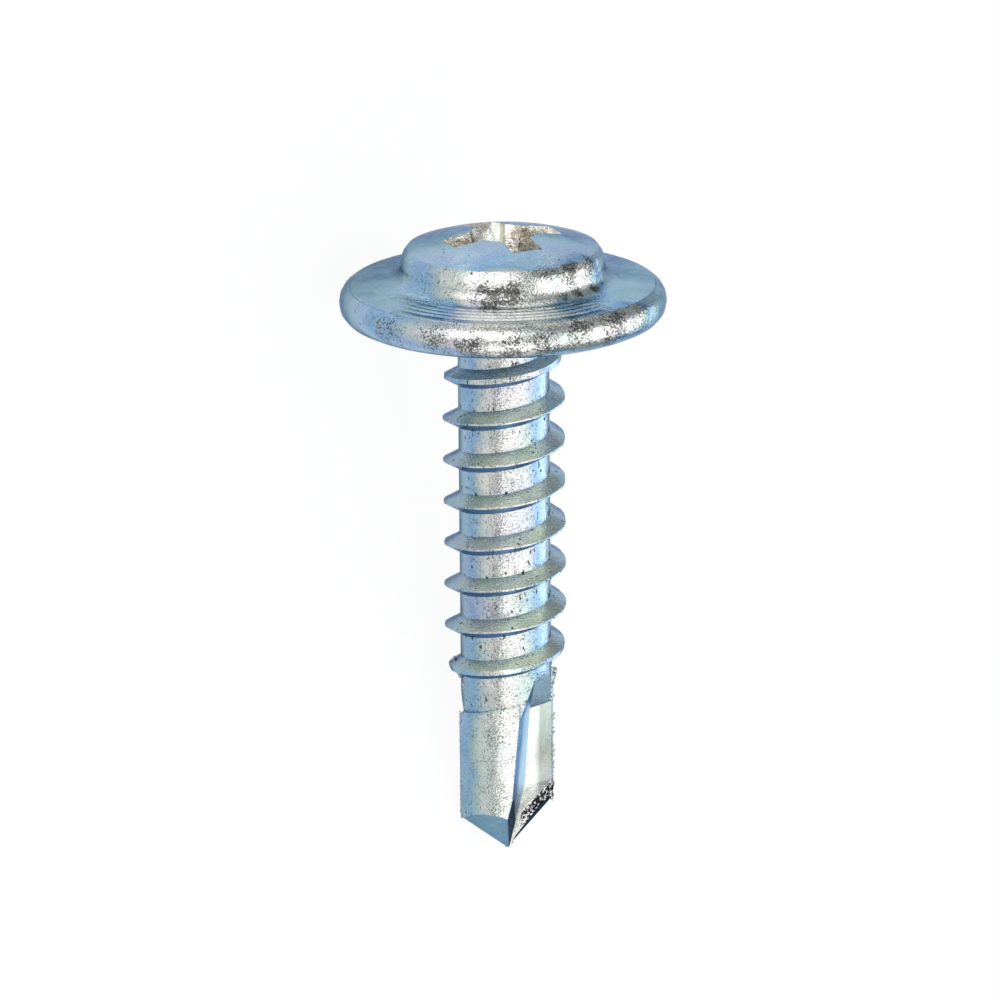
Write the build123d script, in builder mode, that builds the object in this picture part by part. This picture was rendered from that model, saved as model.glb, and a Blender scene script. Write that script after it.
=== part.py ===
# Wafer-head self-drilling screw, one forged and rolled piece, lying on its side at rest
from build123d import *
from math import cos, radians, sin, sqrt, tan
import os

# Overall sizes in mm. The screw is drawn upright, tip down, with z = 0 on the seat under its flange.
length_under_head = 22.0
thread_diameter = 4.8
core_diameter = 3.58
thread_pitch = 1.7

# Head, a domed pan on a wide flange with a rolled rim
head_height = 3.45
dome_radius = 11.3
pan_diameter = 8.12
pan_side_inset = 0.18
pan_shoulder_round = 0.16
pan_foot_round = 0.42
flange_diameter = 12.74
flange_height_at_pan = 1.62
rim_crease_height = 1.37
rim_crease_inset = 0.4
rim_widest_height = 0.7
rim_top_bend = 0.45
rim_bottom_bend = 0.54
seat_inset = 0.52
thread_to_seat_clearance = 0.01
round_chords = 3

# Fine rings that the forging die leaves in the flange
ring_count = 4
first_ring_offset = 0.62
ring_spacing = 0.29
ring_width = 0.12
ring_depth = 0.04

# Cross recess, two tapered slots and a wider middle
recess_depth = 2.35
slot_length_top = 4.85
slot_length_bottom = 2.4
slot_width_top = 1.3
slot_width_bottom = 0.86
recess_middle_top = 2.6
recess_middle_bottom = 1.5
recess_floor_cone = 0.35
recess_azimuth = 25.0

# Thread, a sharp ridge with blunter turns at both ends that fade into the core
thread_angle = 60.0
crest_width = 0.07
ridge_root_sink = 0.15
last_crest_over_step = 1.2
crest_blunting = 0.15
blunt_length = 2.6
fade_in_length = 1.5
fade_out_length = 1.0
spindle_clearance = 0.1

# Drill part, two lands with two flutes between them and a point with two lips
drill_diameter = 4.1
heel_relief = 0.19
lip_azimuth = -65.0
heel_azimuth = 16.0
point_angle = 108.0
facet_clearance = 37.0
step_height = 6.55
step_slope = 16.0
step_chamfer = 0.1
lip_bevel_rise = 0.45
lip_bevel_depth = 0.24
lip_bevel_inner_end = 0.1
lip_bevel_outer_end = 2.6
lip_bevel_overcut = 0.35
lip_bevel_inner_share = 0.03

# Flute, whose root stands near the axis at the tip and leaves the shank above the step
root_at_tip = (-0.08, 0.0)
root_low = (0.70, 0.0)
root_low_height = 2.6
root_high = (0.95, -0.1)
root_high_under_step = 0.65
run_out_rise = 1.75
run_out_clearance = 0.37
run_out_root_azimuth = 30.0
run_out_azimuth = 150.0
heel_wall_azimuth = -15.0
flute_overcut = 0.6
flute_reach = 4.2

# Rest on a floor: the side that faces down, how far round its two corners are sought, and how often
rest_azimuth = -120.0
rest_spread = 30.0
rest_steps = 4

core_radius = core_diameter / 2
crest_radius = thread_diameter / 2
land_radius = drill_diameter / 2
heel_radius = land_radius - heel_relief
flange_radius = flange_diameter / 2
tip = -length_under_head


def at_azimuth(radius, azimuth):
    """Point on a circle about the axis. Azimuth 0 faces -Y and grows towards +X."""
    return (radius * sin(radians(azimuth)), -radius * cos(radians(azimuth)))


def eased(start, corner, end):
    """Points of a curve that bends from start to end round a corner, a few short chords apart."""
    curve = Bezier(start, corner, end)
    return [start, *(curve @ (chord / round_chords) for chord in range(1, round_chords)), end]


def towards(start, end, distance):
    """Point at a distance from start on the line to end."""
    return start + (end - start).normalized() * distance


def dome_height(radius):
    """Height of the domed top at this radius."""
    return head_height - dome_radius + sqrt(dome_radius**2 - radius**2)


# Head and shank, one profile turned about the axis
pan_top_radius = pan_diameter / 2 - pan_side_inset
dome_edge = Vector(pan_top_radius - pan_shoulder_round, dome_height(pan_top_radius - pan_shoulder_round))
shoulder = Vector(pan_top_radius, dome_height(pan_top_radius) - pan_shoulder_round)
pan_foot = Vector(pan_diameter / 2, flange_height_at_pan)
rim_crease = Vector(flange_radius - rim_crease_inset, rim_crease_height)
rim_widest = Vector(flange_radius, rim_widest_height)
seat_edge = Vector(flange_radius - seat_inset, 0)
shank_top = Vector(core_radius, 0)
core_end = tip + step_height - drill_diameter
flange_slope = (flange_height_at_pan - rim_crease_height) / (rim_crease.X - pan_foot.X)
under_head_round = crest_radius - core_radius + thread_to_seat_clearance

rim_top = eased(rim_crease, rim_widest + Vector(0, rim_top_bend), rim_widest)
rim_bottom = eased(rim_widest, rim_widest - Vector(0, rim_bottom_bend), seat_edge)
pan_foot_points = eased(
    towards(pan_foot, shoulder, pan_foot_round), pan_foot, towards(pan_foot, rim_crease, pan_foot_round)
)
under_head_points = eased(
    shank_top + Vector(under_head_round, 0), shank_top, shank_top - Vector(0, under_head_round)
)

with BuildPart() as blank:
    with BuildSketch(Plane.XZ):
        with BuildLine():
            RadiusArc((0, head_height), dome_edge, dome_radius)
            Polyline(
                dome_edge,
                shoulder,
                *pan_foot_points,
                *rim_top,
                *rim_bottom[1:],
                *under_head_points,
                (core_radius, core_end),
                (0, core_end),
                (0, head_height),
            )
        make_face()
    revolve(axis=Axis.Z)
    with BuildSketch(Plane.XZ):
        for ring in range(ring_count):
            radius = pan_diameter / 2 + first_ring_offset + ring * ring_spacing
            height = flange_height_at_pan - flange_slope * (radius - pan_diameter / 2)
            with BuildLine():
                Polyline(
                    (radius, height - ring_depth),
                    (radius + ring_width, height + ring_depth),
                    (radius - ring_width, height + ring_depth),
                    close=True,
                )
            make_face()
    revolve(axis=Axis.Z, mode=Mode.SUBTRACT)

# Envelope of the thread, a spindle that narrows to the core at both ends
last_crest = tip + step_height + last_crest_over_step
blunt_radius = crest_radius - crest_blunting
full_radius = crest_radius + spindle_clearance
ridge_root_radius = core_radius - ridge_root_sink
fade_in_slope = (fade_in_length - under_head_round) / (blunt_radius - ridge_root_radius)
spindle_top_radius = ridge_root_radius - ridge_root_sink
spindle_top = ridge_root_sink * fade_in_slope - under_head_round

with BuildPart() as spindle:
    with BuildSketch(Plane.XZ):
        with BuildLine():
            Polyline(
                (0, spindle_top),
                (spindle_top_radius, spindle_top),
                (blunt_radius, -fade_in_length),
                (full_radius, -fade_in_length - blunt_length),
                (full_radius, last_crest + blunt_length),
                (blunt_radius, last_crest),
                (core_radius, last_crest - fade_out_length),
                (0, last_crest - fade_out_length),
                close=True,
            )
        make_face()
    revolve(axis=Axis.Z)

# Thread ridge, one section swept up a helix and kept inside the envelope
helix_start = last_crest - thread_pitch / 2
half_base = crest_width / 2 + (crest_radius - ridge_root_radius) * tan(radians(thread_angle / 2))

with BuildPart() as ridge:
    with BuildLine(Plane.XY.offset(helix_start)) as helix:
        Helix(thread_pitch, -helix_start, core_radius)
    with BuildSketch(Plane.XZ):
        with BuildLine():
            Polyline(
                (ridge_root_radius, helix_start - half_base),
                (crest_radius, helix_start - crest_width / 2),
                (crest_radius, helix_start + crest_width / 2),
                (ridge_root_radius, helix_start + half_base),
                close=True,
            )
        make_face()
    sweep(path=helix.line, is_frenet=True)
    add(spindle.part, mode=Mode.INTERSECT)

# Drill body, where each land is an arc that falls from its lip to its heel under a slanted step
step_x_dir = Vector(cos(radians(step_slope)), 0, sin(radians(step_slope)))
step = Plane(origin=(0, 0, tip + step_height), x_dir=step_x_dir, z_dir=step_x_dir.cross(Vector(0, 1, 0)))

with BuildPart() as drill:
    with BuildSketch(Plane.XY.offset(tip)):
        with BuildLine():
            for turn in (0, 180):
                ThreePointArc(
                    at_azimuth(land_radius, lip_azimuth + turn),
                    at_azimuth((land_radius + heel_radius) / 2, (lip_azimuth + heel_azimuth) / 2 + turn),
                    at_azimuth(heel_radius, heel_azimuth + turn),
                )
                Line(
                    at_azimuth(heel_radius, heel_azimuth + turn),
                    at_azimuth(land_radius, lip_azimuth + turn + 180),
                )
        make_face()
    extrude(amount=step_height + drill_diameter)
    split(bisect_by=step, keep=Keep.BOTTOM)
    chamfer(drill.faces().sort_by(Axis.Z)[-1].edges(), step_chamfer)

# Flute cutter, lofted from under the tip to the run-out, with two walls that meet in its root
lip_corner = Vector(at_azimuth(land_radius, lip_azimuth + 180))
run_out_root = Vector(at_azimuth(land_radius + run_out_clearance, run_out_root_azimuth))
along_heel = Vector(at_azimuth(1, heel_wall_azimuth))

with BuildPart() as flute:
    for height, root, rake_target in (
        (-flute_overcut, Vector(root_at_tip), lip_corner),
        (root_low_height, Vector(root_low), lip_corner),
        (step_height - root_high_under_step, Vector(root_high), lip_corner),
        (step_height + run_out_rise, run_out_root, run_out_root + Vector(at_azimuth(1, run_out_azimuth))),
    ):
        along_rake = (rake_target - root).normalized()
        with BuildSketch(Plane.XY.offset(tip + height)):
            with BuildLine():
                Polyline(
                    root,
                    root + along_heel * flute_reach,
                    root + (along_heel + along_rake).normalized() * 2 * flute_reach,
                    root + along_rake * flute_reach,
                    close=True,
                )
            make_face()
    loft(ruled=True)

# Recess cutter, two tapered slots across each other, a wider middle and a shallow floor cone
recess_floor = head_height - recess_depth

with BuildPart() as recess:
    for turn in (0, 90):
        for height, length, width in (
            (head_height, slot_length_top, slot_width_top),
            (recess_floor, slot_length_bottom, slot_width_bottom),
        ):
            with BuildSketch(Plane.XY.offset(height)):
                Rectangle(length, width, rotation=recess_azimuth - 90 + turn)
        loft(ruled=True)
    with BuildSketch(Plane.XZ):
        with BuildLine():
            Polyline(
                (0, head_height),
                (recess_middle_top / 2, head_height),
                (recess_middle_bottom / 2, recess_floor),
                (0, recess_floor - recess_floor_cone),
                close=True,
            )
        make_face()
    revolve(axis=Axis.Z)

# Bevel cutter, a wedge along one lip that is nothing at the chisel and widest at the corner
lip_slope = 1 / tan(radians(point_angle / 2))
clearance_slope = tan(radians(facet_clearance))
along_lip = (Vector(at_azimuth(1, lip_azimuth)) + Vector(0, 0, lip_slope)).normalized()
behind_lip = Vector(at_azimuth(1, lip_azimuth + 90))
facet_rise = clearance_slope * (Vector(0, 0, 1) - along_lip * along_lip.Z).length
bevel_fall = (lip_bevel_rise - facet_rise * lip_bevel_depth) / lip_bevel_depth

with BuildPart() as bevel:
    for distance, share in ((lip_bevel_inner_end, lip_bevel_inner_share), (lip_bevel_outer_end, 1)):
        rise = lip_bevel_rise * share
        overcut = lip_bevel_overcut * share
        with BuildSketch(
            Plane(origin=Vector(0, 0, tip) + along_lip * distance, x_dir=behind_lip, z_dir=along_lip)
        ):
            with BuildLine():
                Polyline(
                    (-overcut, -overcut),
                    ((rise + overcut) / bevel_fall, -overcut),
                    (-overcut, rise + bevel_fall * overcut),
                    close=True,
                )
            make_face()
    loft(ruled=True)


def end_facet(turn):
    """Plane of the facet behind one lip. The two planes meet in the chisel edge."""
    outward = Vector(at_azimuth(lip_slope, lip_azimuth + turn))
    backward = Vector(at_azimuth(clearance_slope, lip_azimuth + turn + 90))
    return Plane(origin=(0, 0, tip), z_dir=Vector(0, 0, 1) - outward - backward)


# The whole screw, upright
with BuildPart() as upright:
    add(blank.part)
    add(drill.part)
    add(ridge.part)
    for turn in (0, 180):
        with Locations(Rotation(0, 0, turn)):
            add(flute.part, mode=Mode.SUBTRACT)
    for turn in (0, 180):
        split(bisect_by=end_facet(turn), keep=Keep.TOP)
    for turn in (0, 180):
        with Locations(Rotation(0, 0, turn)):
            add(bevel.part, mode=Mode.SUBTRACT)
    add(recess.part, mode=Mode.SUBTRACT)

# Floor under the lying screw. It touches the rim and the two corners of the point beside one flute.
point_corners = upright.vertices().filter_by_position(Axis.Z, tip, tip + drill_diameter)
down = Vector(at_azimuth(1, rest_azimuth))

for _ in range(rest_steps):
    rim_side = Vector(down.X, down.Y).normalized()
    rim_points = [rim_side * point.X + Vector(0, 0, point.Y) for point in rim_bottom]
    rim_contact = max(rim_points, key=down.dot)
    heel_side, lip_side = (down.rotate(Axis.Z, turn) for turn in (-rest_spread, rest_spread))
    heel_contact = Vector(max(point_corners, key=lambda corner: Vector(corner).dot(heel_side)))
    lip_contact = Vector(max(point_corners, key=lambda corner: Vector(corner).dot(lip_side)))
    down = (rim_contact - lip_contact).cross(heel_contact - lip_contact).normalized()

floor_plane = Plane(origin=rim_contact, x_dir=rim_side.cross(down).cross(down), z_dir=down * -1)
laid = floor_plane.to_local_coords(upright.part)
laid_box = laid.bounding_box()

# The screw as it lies, centred over the origin with the floor at z = 0
with BuildPart() as screw:
    with Locations((-laid_box.center().X, -laid_box.center().Y, -laid_box.min.Z)):
        add(laid)

os.makedirs("parts", exist_ok=True)
screw.part.label = "screw"
export_step(screw.part, "parts/screw.step")
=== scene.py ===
import math
import random
import bpy
import bmesh
from mathutils import Matrix, Vector, noise
from mathutils.bvhtree import BVHTree


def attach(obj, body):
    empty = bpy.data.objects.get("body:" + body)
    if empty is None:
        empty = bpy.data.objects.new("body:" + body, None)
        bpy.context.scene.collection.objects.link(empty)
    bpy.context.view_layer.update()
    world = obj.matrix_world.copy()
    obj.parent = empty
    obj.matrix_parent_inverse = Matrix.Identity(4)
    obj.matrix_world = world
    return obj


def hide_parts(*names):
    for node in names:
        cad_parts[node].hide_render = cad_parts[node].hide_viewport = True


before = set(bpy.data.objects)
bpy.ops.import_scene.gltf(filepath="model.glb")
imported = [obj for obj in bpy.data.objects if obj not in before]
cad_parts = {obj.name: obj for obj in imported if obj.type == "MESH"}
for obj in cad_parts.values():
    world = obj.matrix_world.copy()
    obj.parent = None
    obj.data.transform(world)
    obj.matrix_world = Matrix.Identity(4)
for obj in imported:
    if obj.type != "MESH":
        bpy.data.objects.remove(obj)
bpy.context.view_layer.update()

mm = 0.001

# How the screw lies in the frame: its own upright axes, with the bearing face of the head at z = 0
lie = {
    "seatCentre": (-8.8197, 0.0, 6.02335),  # mm
    "right": (0.20387968, 0.56514639, 0.79940142),
    "back": (-0.13966445, 0.82499064, -0.54761691),
    "toHead": (-0.96898241, 0.0, 0.24712969),
}
uprightAxes = Matrix((lie["right"], lie["back"], lie["toHead"])).transposed().to_4x4()
upright = Matrix.Translation(Vector(lie["seatCentre"]) * mm) @ uprightAxes


def toLinear(hexColour):
    channels = [int(hexColour[i:i + 2], 16) / 255 for i in (1, 3, 5)]
    return [c / 12.92 if c <= 0.04045 else ((c + 0.055) / 1.055) ** 2.4 for c in channels] + [1.0]


def addNode(tree, kind, settings=None, links=None):  # a link comes from an output, or from a node's first one
    node = tree.nodes.new("ShaderNode" + kind)
    for name, value in (settings or {}).items():
        if name == "stops":  # a colour ramp's places and colours
            while len(node.color_ramp.elements) < len(value):
                node.color_ramp.elements.new(0.5)
            for stop, (place, colour) in zip(node.color_ramp.elements, value):
                stop.position = place
                stop.color = toLinear(colour)
        elif isinstance(name, int) or name in node.inputs:
            node.inputs[name].default_value = value
        else:
            setattr(node, name, value)
    for name, source in (links or {}).items():
        tree.links.new(getattr(source, "outputs", (source,))[0], node.inputs[name])
    return node


def newMaterial(name):
    material = bpy.data.materials.new(name)
    material.use_nodes = True
    material.node_tree.nodes.clear()
    return material, material.node_tree


# Electroplated zinc with a blue passivation film, on a forged and rolled steel screw
zincPlate = {
    "film": (  # tint of the film, from where it is seen straight through to where it is seen at a slant
        (0.02, "#E2E1DB"),
        (0.1, "#CDD0CB"),
        (0.19, "#AFBCBC"),
        (0.25, "#9CB2BC"),
        (0.33, "#86A9CC"),
        (0.46, "#9CBAD6"),
        (0.6, "#B8CDDB"),
        (0.71, "#AEC8CC"),
        (0.84, "#7289A6"),
        (0.96, "#5F6C8E"),
    ),
    "edgeTint": "#AFC4DC",  # the film darkens the reflection where it is seen along the surface
    "filmPatch": 1.3,  # mm, patches where the film is thicker or thinner
    "filmDrift": 0.2,  # how far a patch moves along the tints
    "filmSpeck": 0.25,  # the same for each crystal
    "thickTint": "#8DB3AC",  # teal where the film is thickest
    "thinTint": "#A9A6C9",  # lavender where it is thinnest
    "tintSize": 2.4,  # mm
    "tintShare": 0.32,
    "shade": (0.86, 1.1),  # darkest and brightest crystal
    "roughness": (0.1, 0.28),
    "grainSize": 0.08,  # mm, matt crystals of the plating, drawn about three times too coarse so that they show
    "grainHeight": 0.02,  # mm
    "dentSize": 0.42,  # mm, dents from tumbling in the barrel
    "dentHeight": 0.025,
    "edgeRound": 0.03,  # mm, sharp edges are softened by the plating
    "speckSize": 0.085,  # mm, dark specks: partly the plating's crystals, partly painted dark reflections, mostly where the surface is seen straight on
    "speckShare": 0.85,
    "speckAndReflectionColour": "#4C4A47",
    "specksAside": 0.1,  # share of them left where the surface is seen at a slant
    "specksBetween": 0.25,  # the same between their patches
    "pinholeShare": 0.85,
    "pinholeGap": 0.36,  # mm between the dark pinholes in the plating
    "pinholeWidth": (0.09, 0.17),  # times the gap, where a pinhole is full and where it ends
    "pinholeColour": "#4A4744",
}
pinchedZinc = {  # the flutes are squeezed between polished dies, so they are smooth and the film on them is thin
    **zincPlate,
    "film": ((0.05, "#A4A99D"), (0.3, "#999F94"), (0.5, "#9BAFB8"), (0.7, "#8CA8BF"), (0.95, "#6F82A0")),
    "rootHighlightColour": "#E8EAE2",  # painted highlight: near white along the flute's root, where its rounded root would catch the light
    "rootHighlightWidth": (1.1, 1.4),  # mm off the axis, where the painted highlight is full and where it ends
    "rootHighlightShare": 0.95,
    "filmDrift": 0.1,
    "filmSpeck": 0.08,
    "tintShare": 0.15,
    "roughness": (0.16, 0.26),
    "grainHeight": 0.004,
    "dentSize": 0.9,
    "dentHeight": 0.02,
    "speckShare": 0.25,
    "pinholeShare": 0.0,
}
recessZinc = {  # the recess is struck by a polished punch, and the barrel never reached it: cream and bright
    **zincPlate,
    "film": ((0.05, "#F6F2EA"), (0.3, "#E3DDCF"), (0.55, "#C6C6B2"), (0.8, "#9FB0A4"), (0.98, "#7E8A8C")),
    "thickTint": "#8A7A58",  # brown passivation liquid that dried in the recess
    "thinTint": "#FBFAF6",
    "tintSize": 0.8,
    "tintShare": 0.7,
    "roughness": (0.16, 0.34),
    "grainHeight": 0.008,
    "dentSize": 0.3,
    "dentHeight": 0.04,
    "speckShare": 0.7,
}
flankZinc = {  # the flanks of the thread slide along the dies: a thin film, grey-green
    **zincPlate,
    "film": (
        (0.05, "#DCDED4"), (0.3, "#CFD6CA"), (0.45, "#B4C0BC"),
        (0.6, "#BFD0D8"), (0.71, "#C0D0D6"), (0.84, "#5E779A"), (0.96, "#51608A"),
    ),
    "filmDrift": 0.12,
    "speckShare": 0.35,
}
pointZinc = {  # the end facets are struck last, dull and pitted
    **zincPlate,
    "film": ((0.2, "#A9BAC2"), (0.45, "#8AA6BA"), (0.58, "#7893AB"), (0.75, "#6C86A4"), (0.95, "#566A8C")),
    "dentSize": 0.3,
    "dentHeight": 0.05,
    "speckShare": 0.6,
}
shearedZinc = {  # the lips are torn where the flash was sheared off, black and white grains side by side
    **zincPlate,
    "film": ((0.12, "#F2F0EA"), (0.24, "#B9BBBB"), (0.3, "#2A2A2C"), (0.75, "#1C1C1E")),
    "filmDrift": 0.2,
    "filmSpeck": 1.6,
    "tintShare": 0.0,
    "roughness": (0.3, 0.5),
    "grainSize": 0.13,
    "grainHeight": 0.07,
}
surfaceNoises = {  # each with a look's size, then its detail and roughness
    "grain": ("grainSize", 2.0, 0.6),
    "dents": ("dentSize", 2.0, 0.5),
    "patches": ("filmPatch", 3.0, 0.6),
    "tint": ("tintSize", 2.0, 0.5),
    "crystals": ("speckSize", 4.0, 0.75),
}
patternLimits = {  # what a noise, or the slant of the view, is where a pattern begins and where it is full
    "thickTint": (0.52, 0.68),
    "thinTint": (0.48, 0.32),
    "shade": (0.3, 0.7),
    "roughness": (0.35, 0.7),
    "crystals": (0.52, 0.6),
    "crystalPatches": (0.36, 0.6),
    "speckReflectionSlant": (0.3, 0.5),
    "pinholePatches": (0.5, 0.62),
    "strokeGroups": (0.56, 0.6),
}
shankMarks = {  # short scratches that the rolling dies leave
    "size": (0.26, 0.26, 0.5),  # mm, twice across the shank and once along it
    "share": 0.55,  # share of the surface that they may touch
    "groups": 0.9,  # groups of them per mm
    "wobble": 1.6,  # waves per scratch
    "bend": 0.9,  # how far the waves bend it, times its size
    "width": (0.1, 0.2),  # times its size, where it is full and where it ends
    "depth": 0.03,  # mm
    "colour": "#3A3A3C",
    "between": (-15.6, -0.3),  # mm, height of the rolled shank
}
paintedDarkReflections = (  # place in mm, reach in mm, strength: painted dark reflections, dense dark specks where the front of the head would mirror dark surroundings
    ((-0.4, -4.0, 1.9), 0.8, 1.12),
    ((0.35, -4.0, 2.0), 0.6, 1.0),
    ((1.7, -3.5, 2.65), 0.6, 0.6),
    ((2.6, -2.9, 2.6), 0.75, 0.85),
    ((3.4, -1.9, 2.55), 0.7, 0.85),
    ((2.3, -3.4, 1.66), 0.3, 0.9),
    ((2.9, -2.9, 1.68), 0.32, 1.0),
    ((3.5, -2.2, 1.7), 0.34, 1.0),
    ((-2.6, -5.8, 0.65), 1.0, 0.5),
    ((-1.2, -6.25, 0.5), 0.8, 0.8),
    ((0.3, -6.3, 0.45), 0.8, 0.8),
    ((1.6, -6.1, 0.55), 0.8, 0.7),
    ((3.0, -5.6, 1.15), 1.0, 0.7),
    ((4.3, -4.6, 1.1), 1.1, 0.75),
    ((5.3, -3.4, 0.9), 1.1, 0.5),
    ((-4.4, -4.5, 0.8), 1.1, 0.4),
)
# shape of the painted dark reflection patches
darkPatchShape = {
    "ragged": 1.6,  # how far the dents draw a patch's edge, times its reach
    "fades": (-0.7, 0.3),  # where a patch is full and where it ends, times its reach
    "opens": 0.2,  # how much more of the crystals a painted dark patch turns dark
    "edge": 0.3,  # strength at which a patch's crystals show in full
    "darkFrom": (0.56, 0.64),  # where a crystal in a painted dark patch begins to be dark and where it is full
    "darkShare": 0.92,
}
paintedHighlightSpots = (  # place in mm, reach in mm, how far the tint moves to its pale end: painted highlights, paler there
    ((3.1, -2.5, 2.1), 1.5, 0.3),
    ((0.2, -5.0, 1.5), 2.6, 0.55),
    ((3.4, -5.2, 1.0), 1.7, 0.3),
    ((5.0, -3.7, 0.9), 1.3, 0.3),
)
headNicks = (  # place in mm, radius in mm, colour: knocks that cut through the plating
    ((3.86, -1.55, 1.8), 0.1, "#161616"),
    ((4.42, 0.35, 1.62), 0.13, "#77705F"),
    ((-1.2, -3.6, 2.75), 0.07, "#3A3632"),
)
recessPits = (  # the same for pits that hold dried liquid
    ((0.57, 0.75, 3.0), 0.3, "#1E1C18"),
    ((-1.1, 1.3, 3.0), 0.2, "#3B352A"),
    ((1.5, 1.0, 3.15), 0.16, "#4A4232"),
)
nickCore = 0.6  # share of the radius inside which a nick or pit has its full colour
highlightSpotCore = 0.5  # the same for a painted highlight spot
finishes = {  # a material's name, its look, and its nicks, painted dark reflections and painted highlights
    "bluePassivatedZinc": (zincPlate, {"nicks": headNicks, "darkPatches": paintedDarkReflections, "highlightSpots": paintedHighlightSpots}),
    "pinchedZinc": (pinchedZinc, {}),
    "shearedZinc": (shearedZinc, {}),
    "punchedZinc": (recessZinc, {"nicks": recessPits}),
    "struckZinc": (pointZinc, {}),
    "rolledZinc": (flankZinc, {}),
}


def ownAxes(tree):  # place on the surface, in mm along the screw's own axes
    place = addNode(tree, "TexCoord").outputs["Object"]
    lying = addNode(tree, "VectorMath", {"operation": "SCALE", "Scale": 1 / mm}, {0: place})
    fromSeat = addNode(tree, "VectorMath", {"operation": "SUBTRACT", 1: lie["seatCentre"]}, {0: lying})
    along = [
        addNode(tree, "VectorMath", {"operation": "DOT_PRODUCT", 1: lie[axis]}, {0: fromSeat}).outputs["Value"]
        for axis in ("right", "back", "toHead")
    ]
    return addNode(tree, "CombineXYZ", {}, dict(enumerate(along)))


def filmColour(tree, look, inMm, noises, facing, highlightSpots):  # tint by the slant of the view, patch and crystal, paler at the painted highlight spots
    patch, speck = look["filmDrift"], look["filmSpeck"]
    drift = addNode(tree, "Math", {"operation": "MULTIPLY_ADD", 1: patch * 2, 2: -patch}, {0: noises["patches"]})
    jump = addNode(tree, "Math", {"operation": "MULTIPLY_ADD", 1: speck, 2: -speck / 2}, {0: noises["grain"]})
    shift = addNode(tree, "Math", {"operation": "ADD"}, {0: drift, 1: jump})
    slant = addNode(tree, "Math", {"operation": "ADD"}, {0: facing, 1: shift})
    # painted highlights: near each listed spot the tint moves towards its pale end
    for spot, reach, thinner in highlightSpots:
        away = addNode(tree, "VectorMath", {"operation": "DISTANCE", 1: spot}, {0: inMm}).outputs["Value"]
        less = addNode(tree, "MapRange", {
            "From Min": reach * highlightSpotCore, "From Max": reach, "To Min": -thinner, "To Max": 0.0,
            "interpolation_type": "SMOOTHSTEP",
        }, {"Value": away})
        slant = addNode(tree, "Math", {"operation": "ADD"}, {0: slant, 1: less})
    film = addNode(tree, "ValToRGB", {"stops": look["film"]}, {"Fac": slant})
    for kind in ("thickTint", "thinTint"):
        begins, full = patternLimits[kind]
        ends = {"From Min": begins, "From Max": full, "To Max": look["tintShare"]}
        share = addNode(tree, "MapRange", ends, {"Value": noises["tint"]})
        film = addNode(tree, "Mix", {"data_type": "RGBA", 7: toLinear(look[kind])}, {0: share, 6: film}).outputs[2]
    (begins, full), (darkest, brightest) = patternLimits["shade"], look["shade"]
    ends = {"From Min": begins, "From Max": full, "To Min": darkest, "To Max": brightest}
    shade = addNode(tree, "MapRange", ends, {"Value": noises["grain"]})
    return addNode(tree, "VectorMath", {"operation": "SCALE"}, {0: film, "Scale": shade})


def dieStrokes(tree, inMm):  # sparse short strokes on the shank
    size, share = shankMarks["size"], shankMarks["share"] / 4
    stretch = addNode(tree, "VectorMath", {"operation": "DIVIDE", 1: size}, {0: inMm})
    wobble = addNode(tree, "TexNoise", {"Scale": shankMarks["wobble"], "Detail": 3.0}, {"Vector": stretch})
    bend = {"operation": "MULTIPLY_ADD", 1: [shankMarks["bend"]] * 3}
    bent = addNode(tree, "VectorMath", bend, {0: wobble.outputs["Color"], 2: stretch})
    cells = addNode(tree, "TexVoronoi", {"Scale": 1.0, "Randomness": 1.0}, {"Vector": bent})
    full, none = shankMarks["width"]
    ends = {"From Min": full, "From Max": none, "To Min": 1.0, "To Max": 0.0}
    strokes = addNode(tree, "MapRange", ends, {"Value": cells})
    groups = addNode(tree, "TexNoise", {"Scale": shankMarks["groups"], "Detail": 1.0}, {"Vector": inMm})
    begins, full = patternLimits["strokeGroups"]
    some = addNode(tree, "MapRange", {"From Min": begins - share, "From Max": full - share}, {"Value": groups})
    lowest, highest = shankMarks["between"]
    height = addNode(tree, "SeparateXYZ", {}, {0: inMm}).outputs["Z"]
    below = addNode(tree, "Math", {"operation": "LESS_THAN", 1: highest}, {0: height})
    above = addNode(tree, "Math", {"operation": "GREATER_THAN", 1: lowest}, {0: height})
    onShank = addNode(tree, "Math", {"operation": "MULTIPLY"}, {0: below, 1: above})
    chosen = addNode(tree, "Math", {"operation": "MULTIPLY"}, {0: some, 1: onShank})
    return addNode(tree, "Math", {"operation": "MULTIPLY"}, {0: strokes, 1: chosen})


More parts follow.
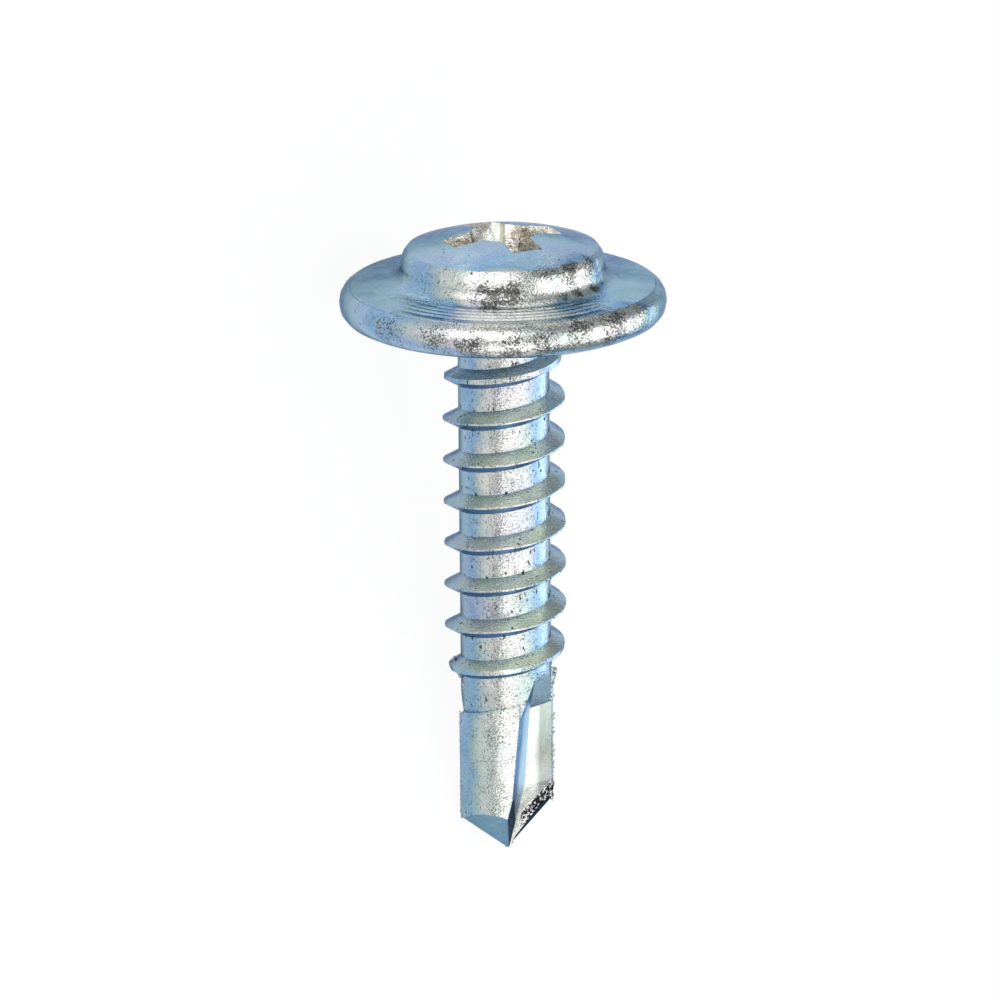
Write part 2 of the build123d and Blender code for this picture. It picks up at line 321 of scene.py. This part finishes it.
def darkCrystalsAndReflections(tree, look, inMm, noises, facing, darkPatches):  # dark specks, partly the plating's crystals and partly painted dark reflections: many where the surface is seen straight on, few at a slant, dense in the painted dark patches
    # painted dark reflections: the specks follow the view, full where the surface is seen straight on
    begins, full = patternLimits["speckReflectionSlant"]
    ends = {"From Min": begins, "From Max": full, "To Min": 1.0, "To Max": look["specksAside"]}
    straight = addNode(tree, "MapRange", ends, {"Value": facing})
    begins, full = patternLimits["crystalPatches"]
    ends = {"From Min": begins, "From Max": full, "To Min": look["specksBetween"]}
    patchy = addNode(tree, "MapRange", ends, {"Value": noises["dents"]})
    begins, full = patternLimits["crystals"]
    ends = {"From Min": begins, "From Max": full, "To Max": look["speckShare"]}
    dark = addNode(tree, "MapRange", ends, {"Value": noises["crystals"]})
    seen = addNode(tree, "Math", {"operation": "MULTIPLY"}, {0: dark, 1: straight})
    share = addNode(tree, "Math", {"operation": "MULTIPLY"}, {0: seen, 1: patchy})
    (full, none), (first, last) = darkPatchShape["fades"], darkPatchShape["darkFrom"]
    # painted dark reflections: dense dark specks inside each listed patch, with a ragged edge
    for spot, reach, strength in darkPatches:
        away = addNode(tree, "VectorMath", {"operation": "DISTANCE", 1: spot}, {0: inMm}).outputs["Value"]
        draw = {"operation": "MULTIPLY_ADD", 1: -darkPatchShape["ragged"] * reach}
        ragged = addNode(tree, "Math", draw, {0: noises["dents"], 2: away})
        ends = {"From Min": full * reach, "From Max": none * reach, "To Min": strength, "To Max": 0.0}
        patchStrength = addNode(tree, "MapRange", ends, {"Value": ragged})
        inside = addNode(tree, "MapRange", {"From Max": darkPatchShape["edge"]}, {"Value": patchStrength})
        more = {"operation": "MULTIPLY_ADD", 1: darkPatchShape["opens"]}
        raised = addNode(tree, "Math", more, {0: patchStrength, 2: noises["crystals"]})
        ends = {"From Min": first, "From Max": last, "To Max": darkPatchShape["darkShare"]}
        dense = addNode(tree, "MapRange", ends, {"Value": raised})
        denseInside = addNode(tree, "Math", {"operation": "MULTIPLY"}, {0: dense, 1: inside})
        share = addNode(tree, "Math", {"operation": "MAXIMUM"}, {0: share, 1: denseInside})
    return share


def zincPlatedSteel(name, look, nicks=(), darkPatches=(), highlightSpots=()):
    # Thin passivated zinc: a pale mirror broken into fine specks, blue where it is seen at a slant
    material, tree = newMaterial(name)
    inMm = ownAxes(tree)
    noises = {}
    for kind, (size, detail, rough) in surfaceNoises.items():
        pattern = {"Scale": 1 / look[size], "Detail": detail, "Roughness": rough}
        noises[kind] = addNode(tree, "TexNoise", pattern, {"Vector": inMm})
    facing = addNode(tree, "LayerWeight", {"Blend": 0.5}).outputs["Facing"]
    stroke = dieStrokes(tree, inMm)
    layers = [  # what lies over the film, from the lowest up
        (stroke, shankMarks["colour"]),
        (darkCrystalsAndReflections(tree, look, inMm, noises, facing, darkPatches), look["speckAndReflectionColour"]),
    ]
    if look["pinholeShare"]:
        holes = addNode(tree, "TexVoronoi", {"Scale": 1 / look["pinholeGap"], "Randomness": 1.0}, {"Vector": inMm})
        full, none = look["pinholeWidth"]
        ends = {"From Min": full, "From Max": none, "To Min": look["pinholeShare"], "To Max": 0.0}
        hole = addNode(tree, "MapRange", ends, {"Value": holes})
        begins, full = patternLimits["pinholePatches"]
        where = addNode(tree, "MapRange", {"From Min": begins, "From Max": full}, {"Value": noises["patches"]})
        pinhole = addNode(tree, "Math", {"operation": "MULTIPLY"}, {0: hole, 1: where})
        layers.append((pinhole, look["pinholeColour"]))
    for spot, size, colour in nicks:
        away = addNode(tree, "VectorMath", {"operation": "DISTANCE", 1: spot}, {0: inMm}).outputs["Value"]
        ends = {"From Min": size * nickCore, "From Max": size, "To Min": 1.0, "To Max": 0.0}
        layers.append((addNode(tree, "MapRange", ends, {"Value": away}), colour))
    # painted highlight along the root of the flute, near white close to the axis
    if "rootHighlightColour" in look:
        level = addNode(tree, "VectorMath", {"operation": "MULTIPLY", 1: (1.0, 1.0, 0.0)}, {0: inMm})
        radius = addNode(tree, "VectorMath", {"operation": "LENGTH"}, {0: level}).outputs["Value"]
        full, none = look["rootHighlightWidth"]
        ends = {"From Min": full, "From Max": none, "To Min": look["rootHighlightShare"], "To Max": 0.0}
        layers.append((addNode(tree, "MapRange", ends, {"Value": radius}), look["rootHighlightColour"]))
    colour = filmColour(tree, look, inMm, noises, facing, highlightSpots)
    for share, over in layers:
        colour = addNode(tree, "Mix", {"data_type": "RGBA", 7: toLinear(over)}, {0: share, 6: colour}).outputs[2]

    (begins, full), (smooth, matt) = patternLimits["roughness"], look["roughness"]
    ends = {"From Min": begins, "From Max": full, "To Min": smooth, "To Max": matt}
    roughness = addNode(tree, "MapRange", ends, {"Value": noises["grain"]})
    normal = addNode(tree, "Bevel", {"samples": 4, "Radius": look["edgeRound"] * mm})
    for height, depth, inwards in (
        (noises["dents"], look["dentHeight"], False),
        (noises["grain"], look["grainHeight"], False),
        (stroke, shankMarks["depth"], True),
    ):
        bump = {"Distance": depth * mm, "Strength": 1.0, "invert": inwards}
        normal = addNode(tree, "Bump", bump, {"Height": height, "Normal": normal})
    shader = addNode(
        tree, "BsdfPrincipled",
        {"Metallic": 1.0, "Specular Tint": toLinear(look["edgeTint"])},
        {"Base Color": colour, "Roughness": roughness, "Normal": normal},
    )
    addNode(tree, "OutputMaterial", {}, {"Surface": shader})
    return material


# The whole screw, one piece, as the solid with its chords blended and its edges worked up
screwMesh = {
    "weld": 0.0004,  # mm
    "smoothUnder": 30.0,  # degrees
    "crestRadius": 2.4,  # mm
    "crestCuts": 5,  # new points along each edge of the crest
    "crestNicks": 0.035,  # mm, how far nicks cut into the crest
    "crestWave": 0.5,  # mm, length of a nick
    "crestNicked": 0.15,  # with more of this, more of the crest is nicked
    "crestSwing": (0.4, 0.7),  # the crest's line wanders by this share of a nick, in waves of so many mm
    "crestBand": (0.01, 0.03),  # mm, how far under its radius a crest's corners lie, and its chords under them
    "crestStarts": -0.5,  # mm, height of the first nicks
    "snap": (0.02, 0.01),  # mm, how near to the wall or the crease a point is to count as on it, out and up
    "wallRadius": (3.88, 3.99),  # mm, side of the pan, at its shoulder and where its foot begins
    "wallHeight": (2.6, 2.03),
    "wallSlack": 0.06,  # share of that height by which its edges may pass it
    "wallCrown": 0.025,  # mm, how far the side of the pan bulges
    "wallCuts": 3,
    "uprightEdge": 0.1,  # mm that an upright edge of the wall climbs at least
    "footOffset": 0.07,  # mm outside the wall, where the flange's slope would meet the pan
    "footHeight": 1.62,
    "creaseAt": (5.97, 1.37),  # mm, radius and height of the crease round the flange
    "creaseWidth": 0.05,  # mm each side
    "creaseBottom": 0.4,  # share of that width, the part that is pressed down
    "creaseDepth": 0.035,
    "rings": (4.5, 5.75),  # mm, between which radii the flange's forged rings lie
    "ringDepth": 0.04,
    "ringsWorn": 0.92,  # share of the depth that is worn off at the sides and the back
    "ringsFade": 6.0,  # how soon they wear off round the flange
    "recessRadius": 2.7,  # mm
    "recessUnder": 0.04,  # mm under the dome
    "domeRadius": 11.3,
    "domeTop": 3.45,
    "fluteBelow": -13.4,  # mm
    "fluteReach": 1.5,  # mm, faces whose plane passes nearer to the axis are in the flute
    "uprightUnder": 0.4,  # a face is upright where its normal leans up or down by less
    "levelFrom": 0.5,  # and level where it leans by more
    "pointBelow": -19.3,
    "bevelFacing": (0.75, -0.54, -0.4),
    "bevelMatch": 0.96,  # cosine of the angle between that and a face of the bevel
    "cutSlack": 0.0001,  # mm
    "tip": -22.0,  # mm
    "pointInward": ((-0.2349, -0.6842, 0.6911), (0.2349, 0.6842, 0.6911)),  # square to the end facets
    "tornWidth": 0.8,  # mm, torn metal along the lips
    "tornFrom": 0.5,  # mm off the axis
    "flanks": (-15.5, -0.3),  # mm, heights between which the thread's flanks lie
    "flanksFrom": 1.75,  # mm off the axis
}
burrs = {
    "seed": 7,
    "edges": (  # azimuth, radius, lowest and highest point, height in mm: fins that the pinching dies leave
        (115.0, 2.04, -20.2, -14.7, 0.14),
        (295.0, 2.04, -20.2, -15.9, 0.03),
    ),
    "step": 0.06,  # mm between the points of a fin
    "thickness": 0.035,
    "sunk": 0.03,  # mm that a fin's foot is under the surface
    "shortest": 0.4,  # share of its height that a tooth keeps at least
    "lean": 0.5,  # how far a tooth leans over, times its height
    "crumbs": (  # azimuth, height, size in mm: torn metal where the flute cuts the last turn of the thread
        (96.0, -13.95, 0.17), (103.0, -14.3, 0.15), (90.0, -14.6, 0.13), (106.0, -14.8, 0.17), (99.0, -15.1, 0.13),
        (110.0, -15.4, 0.14), (112.0, -15.9, 0.12), (276.0, -14.0, 0.1), (284.0, -14.5, 0.11), (290.0, -15.0, 0.09),
        (268.0, -15.75, 0.07), (272.0, -16.1, 0.06),
    ),
    "crumbShape": (0.7, 0.8),  # roughness, and its waves as a share of the crumb's size
    "crumbTall": 1.3,
    "crumbSunk": 0.35,  # share of the size
}


def radiusOf(vert):
    return math.hypot(vert.co.x, vert.co.y)


def around(azimuth, radius, height):  # azimuth 0 is the side that faces the camera
    angle = math.radians(azimuth)
    return Vector((radius * math.sin(angle), -radius * math.cos(angle), height)) * mm


def crownWall(work, settings):  # the side of the pan is a little convex, as the heading die leaves it
    (shoulder, foot), (high, low) = settings["wallRadius"], settings["wallHeight"]

    def upWall(vert):  # 0 at the foot, 1 at the shoulder
        return (vert.co.z / mm - low) / (high - low)

    def onWall(vert, slack):
        up = upWall(vert)
        offWall = abs(radiusOf(vert) / mm - foot - (shoulder - foot) * up)
        return -slack < up < 1 + slack and offWall < settings["snap"][0]

    wall = [
        edge for edge in work.edges
        if all(onWall(vert, settings["wallSlack"]) for vert in edge.verts)
        and abs(edge.verts[0].co.z - edge.verts[1].co.z) > settings["uprightEdge"] * mm
    ]
    bmesh.ops.subdivide_edges(work, edges=wall, cuts=settings["wallCuts"])
    for vert in work.verts:
        if onWall(vert, 0.0):
            up = upWall(vert)
            vert.co.xy *= 1 + 4 * up * (1 - up) * settings["wallCrown"] * mm / radiusOf(vert)


def cutCrease(work, settings):  # the rolling wheel presses a fine line where the rim bends down
    (radius, height), width = settings["creaseAt"], settings["creaseWidth"]
    out, up = settings["snap"]
    crease = [
        edge for edge in work.edges
        if all(abs(vert.co.z / mm - height) < up and abs(radiusOf(vert) / mm - radius) < out for vert in edge.verts)
    ]
    made = bmesh.ops.bevel(work, geom=crease, offset=width * mm, segments=2, profile=0.5, affect="EDGES")
    for vert in {vert for face in made["faces"] for vert in face.verts}:
        if abs(radiusOf(vert) / mm - radius) < width * settings["creaseBottom"]:
            vert.co.z -= settings["creaseDepth"] * mm


def wearRings(work, settings):  # the rings are crisp at the front and nearly worn away at the sides and the back
    creaseRadius, creaseHeight = settings["creaseAt"]
    footRadius, footHeight = settings["wallRadius"][1] + settings["footOffset"], settings["footHeight"]
    inner, outer = settings["rings"]
    for vert in work.verts:
        radius = radiusOf(vert) / mm
        surface = footHeight + (creaseHeight - footHeight) * (radius - footRadius) / (creaseRadius - footRadius)
        depth = surface - vert.co.z / mm
        if inner < radius < outer and 0.5 < depth / settings["ringDepth"] < 1.5:  # the bottom of a ring
            back = 0.5 + 0.5 * vert.co.y / mm / radius  # 0 at the front, 1 at the back
            vert.co.z += settings["ringsWorn"] * settings["ringDepth"] * mm * min(1.0, settings["ringsFade"] * back)


def roughenCrest(work, settings):  # the rolled crest is never a clean line
    top = settings["crestRadius"] * mm
    corner, chord = settings["crestBand"]
    near = top - corner * mm
    nick, (swing, wave) = settings["crestNicks"] * mm, settings["crestSwing"]
    crest = [edge for edge in work.edges if all(radiusOf(vert) > near and vert.co.z < 0 for vert in edge.verts)]
    bmesh.ops.subdivide_edges(work, edges=crest, cuts=settings["crestCuts"])
    for vert in work.verts:
        along = radiusOf(vert)
        if along > near - chord * mm and vert.co.z < settings["crestStarts"] * mm:
            cut = nick * max(0.0, noise.noise(vert.co / (settings["crestWave"] * mm)) + settings["crestNicked"])
            vert.co.xy *= (top - cut) / along
            vert.co.z += swing * nick * noise.noise(vert.co / (wave * mm) + Vector((5, 5, 5)))


def isInFlute(face, settings):  # upright and nearer to the axis than the land is
    middle = face.calc_center_median()
    reach = (face.normal.x * middle.x + face.normal.y * middle.y) / mm
    isUpright = abs(face.normal.z) < settings["uprightUnder"]
    return middle.z / mm < settings["fluteBelow"] and isUpright and reach < settings["fluteReach"]


def cutTear(work, settings):  # an edge in the flute along which the torn metal of the lip ends
    tip = Vector((0, 0, settings["tip"] * mm))
    slack = settings["cutSlack"] * mm
    for facing in settings["pointInward"]:
        inward = Vector(facing).normalized()
        side = Vector((inward.x, inward.y, 0))
        near = [face for face in work.faces if isInFlute(face, settings) and face.calc_center_median().dot(side) < 0]
        parts = {part for face in near for part in (*face.verts, *face.edges, face)}
        cut = tip + inward * settings["tornWidth"] * mm
        bmesh.ops.bisect_plane(work, geom=list(parts), plane_co=cut, plane_no=inward, dist=slack)


def addFin(work, azimuth, radius, low, high, height, chance):  # a ragged fin with one tooth per step
    rows = []
    count = int((high - low) / burrs["step"])
    half = math.degrees(burrs["thickness"] / radius)
    foot, shortest = radius - burrs["sunk"], burrs["shortest"]
    for index in range(count + 1):
        level = low + (high - low) * index / count
        reach = height * chance.random() ** 2 * (shortest + (1 - shortest) * chance.random())
        lean = azimuth - math.degrees(burrs["lean"] * reach / radius)
        points = (
            around(azimuth - half, foot, level),
            around(lean, radius + reach, level),
            around(azimuth + half, foot, level),
        )
        rows.append([work.verts.new(point) for point in points])
    for lower, upper in zip(rows, rows[1:]):
        for first, second in ((0, 1), (1, 2), (2, 0)):
            work.faces.new((lower[first], lower[second], upper[second], upper[first]))
    work.faces.new(rows[0][::-1])
    work.faces.new(rows[-1])


def addCrumb(work, surface, azimuth, level, size, chance):  # a torn crumb, sunk into the surface that it sits on
    rough, wave = burrs["crumbShape"]
    inward = -around(azimuth, 1.0, 0.0).normalized()
    hit = surface.ray_cast(around(azimuth, 4.0, level), inward)[0]
    made = bmesh.ops.create_icosphere(work, subdivisions=2, radius=size * mm)
    shift = Vector([chance.uniform(0, 20) for _ in range(3)])
    for vert in made["verts"]:
        vert.co *= 1 + rough * noise.noise(vert.co / (size * wave * mm) + shift)
        vert.co.z *= burrs["crumbTall"]
        vert.co += hit + inward * size * burrs["crumbSunk"] * mm


def finishOf(face, settings):  # which of the finishes a face has, by where it lies and where it faces
    middle = face.calc_center_median() / mm
    normal = face.normal
    radius, height = math.hypot(middle.x, middle.y), middle.z
    dome = settings["domeTop"] - settings["domeRadius"] + math.sqrt(settings["domeRadius"] ** 2 - radius ** 2)
    if radius < settings["recessRadius"] and 0 < height < dome - settings["recessUnder"]:
        return "punchedZinc"
    inFlute = isInFlute(face, settings)
    if height < settings["pointBelow"]:
        bevel = Vector(settings["bevelFacing"]).normalized()
        halfTurned = Vector((-normal.x, -normal.y, normal.z))
        fromTip = middle - Vector((0, 0, settings["tip"]))
        inside = min(fromTip.dot(Vector(facing)) for facing in settings["pointInward"])
        torn = inFlute and inside < settings["tornWidth"] and radius > settings["tornFrom"]
        if torn or max(normal.dot(bevel), halfTurned.dot(bevel)) > settings["bevelMatch"]:
            return "shearedZinc"
        if normal.z < -settings["levelFrom"]:
            return "struckZinc"
    if inFlute:
        return "pinchedZinc"
    lowest, highest = settings["flanks"]
    isLevel = abs(normal.z) > settings["levelFrom"]
    onFlank = lowest < height < highest and radius > settings["flanksFrom"] and isLevel
    return "rolledZinc" if onFlank else "bluePassivatedZinc"


def makeScrew(settings):
    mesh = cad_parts["screw"].data.copy()
    mesh.name = "screwSurface"
    mesh.transform(upright.inverted())
    work = bmesh.new()
    work.from_mesh(mesh)
    bmesh.ops.remove_doubles(work, verts=work.verts, dist=settings["weld"] * mm)
    crownWall(work, settings)
    wearRings(work, settings)
    cutCrease(work, settings)
    roughenCrest(work, settings)
    cutTear(work, settings)
    surface = BVHTree.FromBMesh(work)
    chance = random.Random(burrs["seed"])
    for fin in burrs["edges"]:
        addFin(work, *fin, chance)
    for crumb in burrs["crumbs"]:
        addCrumb(work, surface, *crumb, chance)
    bmesh.ops.triangulate(work, faces=[face for face in work.faces if len(face.verts) > 3])
    work.normal_update()

    order = list(finishes)
    for face in work.faces:
        face.smooth = True
        face.material_index = order.index(finishOf(face, settings))
    limit = math.radians(settings["smoothUnder"])
    for edge in work.edges:
        zones = {face.material_index for face in edge.link_faces}
        edge.smooth = len(edge.link_faces) == 2 and len(zones) == 1 and edge.calc_face_angle(0.0) < limit
    mesh.materials.clear()
    for name, (look, treatment) in finishes.items():
        mesh.materials.append(zincPlatedSteel(name, look, **treatment))
    work.to_mesh(mesh)
    work.free()
    mesh.transform(upright)
    screw = bpy.data.objects.new("screwSurface", mesh)
    bpy.context.scene.collection.objects.link(screw)
    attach(screw, "root")
    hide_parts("screw")
    return screw


screw = makeScrew(screwMesh)
print("screw:", len(screw.data.polygons), "faces")

# Floor: a flat sheet of matt white paper that keeps the shadow
floorLook = {
    "size": 2.0,  # m
    "colour": "#F6F6F6",
    "whiteToCamera": 0.92,  # share of plain white that the camera sees, over the shadow
    "whiteToMetal": 0.35,  # the same for what the metal mirrors
}


def makeFloor(settings):
    half = settings["size"] / 2
    mesh = bpy.data.meshes.new("floor")
    mesh.from_pydata([(-half, -half, 0), (half, -half, 0), (half, half, 0), (-half, half, 0)], [], [(0, 1, 2, 3)])
    material, tree = newMaterial("mattWhitePaper")  # uncoated paper: no gloss at all
    matt = addNode(tree, "BsdfDiffuse", {"Color": toLinear(settings["colour"])})
    white = addNode(tree, "Emission", {"Color": (1, 1, 1, 1), "Strength": 1.0})
    rays = addNode(tree, "LightPath").outputs
    seen = addNode(tree, "Math", {"operation": "MULTIPLY", 1: settings["whiteToCamera"]}, {0: rays["Is Camera Ray"]})
    bounced = {0: rays["Is Glossy Ray"], 1: rays["Is Transmission Ray"]}
    mirrored = addNode(tree, "Math", {"operation": "MAXIMUM"}, bounced)
    share = addNode(tree, "Math", {"operation": "MULTIPLY_ADD", 1: settings["whiteToMetal"]}, {0: mirrored, 2: seen})
    mix = addNode(tree, "MixShader", {}, {"Fac": share, 1: matt, 2: white})
    addNode(tree, "OutputMaterial", {}, {"Surface": mix})
    mesh.materials.append(material)
    floor = bpy.data.objects.new("floor", mesh)
    bpy.context.scene.collection.objects.link(floor)


makeFloor(floorLook)
print("floor: done")

# Camera: a long lens a little above the head's edge, near enough to draw the point smaller than the head
view = {
    "pitch": 17.45,  # degrees past square to the axis
    "roll": 0.48,  # degrees, the point leans to the right
    "underSeat": 7.465,  # mm down the axis, the height that the middle of the image looks at
    "axisOffset": 0.18,  # mm that the axis stands right of the middle
    "distance": 240.0,  # mm
    "imageWidth": 39.25,  # mm across at that distance
    "sensor": 36.0,  # mm
    "clip": (0.01, 10.0),  # m
}


def aimCamera(settings):
    pitch, roll = math.radians(settings["pitch"]), math.radians(settings["roll"])
    right, toHead = Vector(lie["right"]), Vector(lie["toHead"])
    rise = Vector(lie["back"]) * math.sin(pitch) + toHead * math.cos(pitch)
    across = right * math.cos(roll) - rise * math.sin(roll)
    above = right * math.sin(roll) + rise * math.cos(roll)
    towards = across.cross(above)
    target = Vector(lie["seatCentre"]) - toHead * settings["underSeat"] - across * settings["axisOffset"]
    data = bpy.data.cameras.new("camera")
    data.sensor_width = settings["sensor"]
    data.lens = settings["sensor"] * settings["distance"] / settings["imageWidth"]
    data.clip_start, data.clip_end = settings["clip"]
    camera = bpy.data.objects.new("camera", data)
    bpy.context.scene.collection.objects.link(camera)
    place = (target + towards * settings["distance"]) * mm
    camera.matrix_world = Matrix.Translation(place) @ Matrix((across, above, towards)).transposed().to_4x4()
    bpy.context.scene.camera = camera


aimCamera(view)
print("camera: done")

# Soft studio light: softboxes round the front and the top, placed by the side of the screw that they face
studio = {
    "room": "#D3D8DC",
    "roomStrength": 0.58,
    "softboxes": {  # azimuth from the front, height above square to the axis, distance, width and height in mm, glow
        "frontSoftbox": (12.0, -33.0, 200.0, 150.0, 150.0, 1.7),
        "topSoftbox": (58.0, -4.0, 200.0, 170.0, 210.0, 1.7),
        "backSoftbox": (108.0, -8.0, 200.0, 150.0, 180.0, 2.0),
        "headSoftbox": (-18.0, 34.0, 270.0, 290.0, 260.0, 1.75),
        "endSoftbox": (180.0, 77.0, 200.0, 140.0, 90.0, 1.2),
    },
}


def addSoftbox(name, azimuth, height, distance, wide, tall, glow):
    data = bpy.data.lights.new(name, "AREA")
    data.shape = "RECTANGLE"
    data.size, data.size_y = wide * mm, tall * mm
    data.energy = glow * math.pi * wide * tall * mm * mm  # its face has this radiance, whatever its size
    lamp = bpy.data.objects.new(name, data)
    bpy.context.scene.collection.objects.link(lamp)
    lift = math.radians(height)
    side = around(azimuth, math.cos(lift), math.sin(lift)).normalized()
    middle = Vector((0, 0, -view["underSeat"] * mm))
    turn = side.to_track_quat("Z", "Y").to_matrix().to_4x4()
    lamp.matrix_world = upright @ Matrix.Translation(middle + side * distance * mm) @ turn


def lightStudio(settings):
    world = bpy.data.worlds.new("studio")
    world.use_nodes = True
    tree = world.node_tree
    tree.nodes.clear()
    room = addNode(tree, "Background", {"Color": toLinear(settings["room"]), "Strength": settings["roomStrength"]})
    white = addNode(tree, "Background", {"Color": (1, 1, 1, 1), "Strength": 1.0})
    seen = addNode(tree, "LightPath").outputs["Is Camera Ray"]
    mix = addNode(tree, "MixShader", {}, {"Fac": seen, 1: room, 2: white})
    addNode(tree, "OutputWorld", {}, {"Surface": mix})
    bpy.context.scene.world = world
    for name, placing in settings["softboxes"].items():
        addSoftbox(name, *placing)


lightStudio(studio)
print("light: done")
bpy.context.scene.view_settings.view_transform = "Standard"
